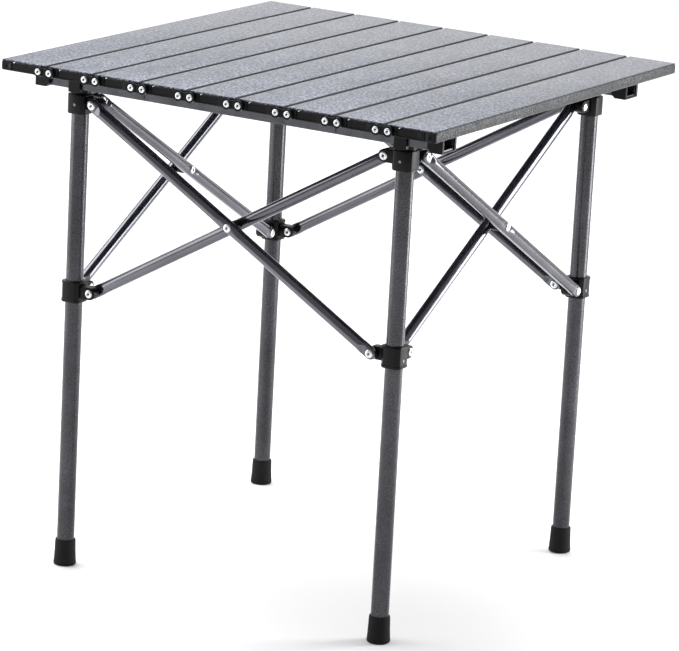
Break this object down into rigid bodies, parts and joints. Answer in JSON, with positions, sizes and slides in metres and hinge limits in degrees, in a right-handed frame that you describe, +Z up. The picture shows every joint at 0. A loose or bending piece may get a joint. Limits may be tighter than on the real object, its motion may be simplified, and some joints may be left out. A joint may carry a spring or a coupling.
{
  "type": "folding side table",
  "caption": "Square camping side table: roll-up slatted aluminium top on rails, lifting off a four-legged scissor frame with sliding collars and rubber feet.",
  "frame": {"origin": "on the floor, below the middle of the table top", "axes": "+Z up, X across the slats, Y along the slats; -Y is the front"},
  "size_m": [0.499, 0.5052, 0.53],
  "materials": {
    "slat_paint": "fine hammered grey powder coat",
    "rail_metal": "satin anodised",
    "leg_paint": "charcoal metallic powder coat",
    "tube_paint": "charcoal metallic powder coat",
    "black_plastic": "fine moulded grain",
    "rivet_steel": "bright zinc",
    "foot_rubber": "matt"
  },
  "bodies": {
    "slat_1": {"slat_1": "slat_paint", "end_caps_1": "black_plastic"},
    "slat_2": {"slat_2": "slat_paint", "end_caps_2": "black_plastic"},
    "slat_3": {"slat_3": "slat_paint", "end_caps_3": "black_plastic"},
    "slat_4": {"slat_4": "slat_paint", "end_caps_4": "black_plastic"},
    "slat_6": {"slat_6": "slat_paint", "end_caps_6": "black_plastic"},
    "slat_7": {"slat_7": "slat_paint", "end_caps_7": "black_plastic"},
    "slat_8": {"slat_8": "slat_paint", "end_caps_8": "black_plastic"},
    "slat_9": {"slat_9": "slat_paint", "end_caps_9": "black_plastic"},
    "top": {"slat_5": "slat_paint", "end_caps_5": "black_plastic", "rails": "rail_metal", "rail_brackets": "black_plastic"},
    "links_1": {"hinge_links_1": "black_plastic"},
    "links_2": {"hinge_links_2": "black_plastic"},
    "links_3": {"hinge_links_3": "black_plastic"},
    "links_4": {"hinge_links_4": "black_plastic"},
    "links_5": {"hinge_links_5": "black_plastic"},
    "links_6": {"hinge_links_6": "black_plastic"},
    "links_7": {"hinge_links_7": "black_plastic"},
    "links_8": {"hinge_links_8": "black_plastic"},
    "leg_front_right": {"leg_front_right": "leg_paint", "top_hub_front_right": "black_plastic", "foot_front_right": "foot_rubber"},
    "slider_front_right": {"slider_front_right": "black_plastic"},
    "leg_back_right": {"leg_back_right": "leg_paint", "top_hub_back_right": "black_plastic", "foot_back_right": "foot_rubber"},
    "slider_back_right": {"slider_back_right": "black_plastic"},
    "leg_back_left": {"leg_back_left": "leg_paint", "top_hub_back_left": "black_plastic", "foot_back_left": "foot_rubber"},
    "slider_back_left": {"slider_back_left": "black_plastic"},
    "leg_front_left": {"leg_front_left": "leg_paint", "top_hub_front_left": "black_plastic", "foot_front_left": "foot_rubber"},
    "slider_front_left": {"slider_front_left": "black_plastic"},
    "outer_front": {"outer_tube_front": "tube_paint", "outer_rivets_front": "rivet_steel"},
    "inner_front": {"inner_tube_front": "tube_paint", "inner_rivets_front": "rivet_steel"},
    "outer_right": {"outer_tube_right": "tube_paint", "outer_rivets_right": "rivet_steel"},
    "inner_right": {"inner_tube_right": "tube_paint", "inner_rivets_right": "rivet_steel"},
    "outer_back": {"outer_tube_back": "tube_paint", "outer_rivets_back": "rivet_steel"},
    "inner_back": {"inner_tube_back": "tube_paint", "inner_rivets_back": "rivet_steel"},
    "outer_left": {"outer_tube_left": "tube_paint", "outer_rivets_left": "rivet_steel"},
    "inner_left": {"inner_tube_left": "tube_paint", "inner_rivets_left": "rivet_steel"}
  },
  "joints": [
    {"name": "frame_fold", "type": "hinge", "parent": "leg_front_right", "child": "inner_front", "pos_m": [0.1625, -0.189, 0.4863], "axis": [0, -1, 0], "range_deg": [0, 56]},
    {"name": "front_cross", "type": "hinge", "parent": "inner_front", "child": "outer_front", "pos_m": [-0.005, -0.189, 0.38895], "axis": [0, -1, 0], "range_deg": [-112, 0]},
    {"name": "front_left_hub_pivot", "type": "hinge", "parent": "outer_front", "child": "leg_front_left", "pos_m": [-0.1725, -0.189, 0.4863], "axis": [0, -1, 0], "range_deg": [0, 56]},
    {"name": "front_left_slider_pivot", "type": "hinge", "parent": "inner_front", "child": "slider_front_left", "pos_m": [-0.1725, -0.189, 0.2916], "axis": [0, -1, 0], "range_deg": [-56, 0]},
    {"name": "front_right_slider_pivot", "type": "hinge", "parent": "outer_front", "child": "slider_front_right", "pos_m": [0.1625, -0.189, 0.2916], "axis": [0, -1, 0], "range_deg": [0, 56]},
    {"name": "front_right_hub_pivot", "type": "hinge", "parent": "leg_front_right", "child": "outer_right", "pos_m": [0.184, -0.1675, 0.4863], "axis": [1, 0, 0], "range_deg": [-56, 0]},
    {"name": "right_cross", "type": "hinge", "parent": "outer_right", "child": "inner_right", "pos_m": [0.184, 0, 0.38895], "axis": [1, 0, 0], "range_deg": [0, 112]},
    {"name": "back_right_hub_pivot", "type": "hinge", "parent": "inner_right", "child": "leg_back_right", "pos_m": [0.184, 0.1675, 0.4863], "axis": [1, 0, 0], "range_deg": [-56, 0]},
    {"name": "back_right_slider_pivot", "type": "hinge", "parent": "outer_right", "child": "slider_back_right", "pos_m": [0.184, 0.1675, 0.2916], "axis": [1, 0, 0], "range_deg": [0, 56]},
    {"name": "back_outer_pivot", "type": "hinge", "parent": "leg_back_right", "child": "outer_back", "pos_m": [0.1625, 0.189, 0.4863], "axis": [0, 1, 0], "range_deg": [-56, 0]},
    {"name": "back_cross", "type": "hinge", "parent": "outer_back", "child": "inner_back", "pos_m": [-0.005, 0.189, 0.38895], "axis": [0, 1, 0], "range_deg": [0, 112]},
    {"name": "back_left_hub_pivot", "type": "hinge", "parent": "inner_back", "child": "leg_back_left", "pos_m": [-0.1725, 0.189, 0.4863], "axis": [0, 1, 0], "range_deg": [-56, 0]},
    {"name": "back_left_slider_pivot", "type": "hinge", "parent": "outer_back", "child": "slider_back_left", "pos_m": [-0.1725, 0.189, 0.2916], "axis": [0, 1, 0], "range_deg": [0, 56]},
    {"name": "left_inner_pivot", "type": "hinge", "parent": "leg_front_left", "child": "inner_left", "pos_m": [-0.194, -0.1675, 0.4863], "axis": [-1, 0, 0], "range_deg": [0, 56]},
    {"name": "left_cross", "type": "hinge", "parent": "inner_left", "child": "outer_left", "pos_m": [-0.194, 0, 0.38895], "axis": [-1, 0, 0], "range_deg": [-112, 0]},
    {"name": "top_lift", "type": "slide", "parent": "leg_front_right", "child": "top", "axis": [0, 0, 1], "range_m": [0, 0.305]},
    {"name": "curl_5", "type": "hinge", "parent": "top", "child": "links_5", "pos_m": [0.0187, 0, 0.5234], "axis": [0, -1, 0], "range_deg": [0, 18]},
    {"name": "curl_5_slat", "type": "hinge", "parent": "links_5", "child": "slat_6", "pos_m": [0.0318, 0, 0.5234], "axis": [0, -1, 0], "range_deg": [0, 18]},
    {"name": "curl_6", "type": "hinge", "parent": "slat_6", "child": "links_6", "pos_m": [0.0742, 0, 0.5234], "axis": [0, -1, 0], "range_deg": [0, 18]},
    {"name": "curl_6_slat", "type": "hinge", "parent": "links_6", "child": "slat_7", "pos_m": [0.0873, 0, 0.5234], "axis": [0, -1, 0], "range_deg": [0, 18]},
    {"name": "curl_7", "type": "hinge", "parent": "slat_7", "child": "links_7", "pos_m": [0.1297, 0, 0.5234], "axis": [0, -1, 0], "range_deg": [0, 18]},
    {"name": "curl_7_slat", "type": "hinge", "parent": "links_7", "child": "slat_8", "pos_m": [0.1428, 0, 0.5234], "axis": [0, -1, 0], "range_deg": [0, 18]},
    {"name": "curl_8", "type": "hinge", "parent": "slat_8", "child": "links_8", "pos_m": [0.1852, 0, 0.5234], "axis": [0, -1, 0], "range_deg": [0, 18]},
    {"name": "curl_8_slat", "type": "hinge", "parent": "links_8", "child": "slat_9", "pos_m": [0.1983, 0, 0.5234], "axis": [0, -1, 0], "range_deg": [0, 18]},
    {"name": "curl_4", "type": "hinge", "parent": "top", "child": "links_4", "pos_m": [-0.0237, 0, 0.5234], "axis": [0, 1, 0], "range_deg": [0, 18]},
    {"name": "curl_4_slat", "type": "hinge", "parent": "links_4", "child": "slat_4", "pos_m": [-0.0368, 0, 0.5234], "axis": [0, 1, 0], "range_deg": [0, 18]},
    {"name": "curl_3", "type": "hinge", "parent": "slat_4", "child": "links_3", "pos_m": [-0.0792, 0, 0.5234], "axis": [0, 1, 0], "range_deg": [0, 18]},
    {"name": "curl_3_slat", "type": "hinge", "parent": "links_3", "child": "slat_3", "pos_m": [-0.0923, 0, 0.5234], "axis": [0, 1, 0], "range_deg": [0, 18]},
    {"name": "curl_2", "type": "hinge", "parent": "slat_3", "child": "links_2", "pos_m": [-0.1347, 0, 0.5234], "axis": [0, 1, 0], "range_deg": [0, 18]},
    {"name": "curl_2_slat", "type": "hinge", "parent": "links_2", "child": "slat_2", "pos_m": [-0.1478, 0, 0.5234], "axis": [0, 1, 0], "range_deg": [0, 18]},
    {"name": "curl_1", "type": "hinge", "parent": "slat_2", "child": "links_1", "pos_m": [-0.1902, 0, 0.5234], "axis": [0, 1, 0], "range_deg": [0, 18]},
    {"name": "curl_1_slat", "type": "hinge", "parent": "links_1", "child": "slat_1", "pos_m": [-0.2033, 0, 0.5234], "axis": [0, 1, 0], "range_deg": [0, 18]}
  ],
  "couplings": [
    {"joint": "front_cross", "follows": "frame_fold", "ratio": -2},
    {"joint": "front_left_hub_pivot", "follows": "frame_fold", "ratio": 1},
    {"joint": "front_left_slider_pivot", "follows": "frame_fold", "ratio": -1},
    {"joint": "front_right_slider_pivot", "follows": "frame_fold", "ratio": 1},
    {"joint": "front_right_hub_pivot", "follows": "frame_fold", "ratio": -1},
    {"joint": "right_cross", "follows": "frame_fold", "ratio": 2},
    {"joint": "back_right_hub_pivot", "follows": "frame_fold", "ratio": -1},
    {"joint": "back_right_slider_pivot", "follows": "frame_fold", "ratio": 1},
    {"joint": "back_outer_pivot", "follows": "frame_fold", "ratio": -1},
    {"joint": "back_cross", "follows": "frame_fold", "ratio": 2},
    {"joint": "back_left_hub_pivot", "follows": "frame_fold", "ratio": -1},
    {"joint": "back_left_slider_pivot", "follows": "frame_fold", "ratio": 1},
    {"joint": "left_inner_pivot", "follows": "frame_fold", "ratio": 1},
    {"joint": "left_cross", "follows": "frame_fold", "ratio": -2},
    {"joint": "top_lift", "follows": "frame_fold", "m_per_rad": 0.31},
    {"joint": "curl_5_slat", "follows": "curl_5", "ratio": 1},
    {"joint": "curl_6_slat", "follows": "curl_6", "ratio": 1},
    {"joint": "curl_7_slat", "follows": "curl_7", "ratio": 1},
    {"joint": "curl_8_slat", "follows": "curl_8", "ratio": 1},
    {"joint": "curl_4_slat", "follows": "curl_4", "ratio": 1},
    {"joint": "curl_3_slat", "follows": "curl_3", "ratio": 1},
    {"joint": "curl_2_slat", "follows": "curl_2", "ratio": 1},
    {"joint": "curl_1_slat", "follows": "curl_1", "ratio": 1}
  ]
}
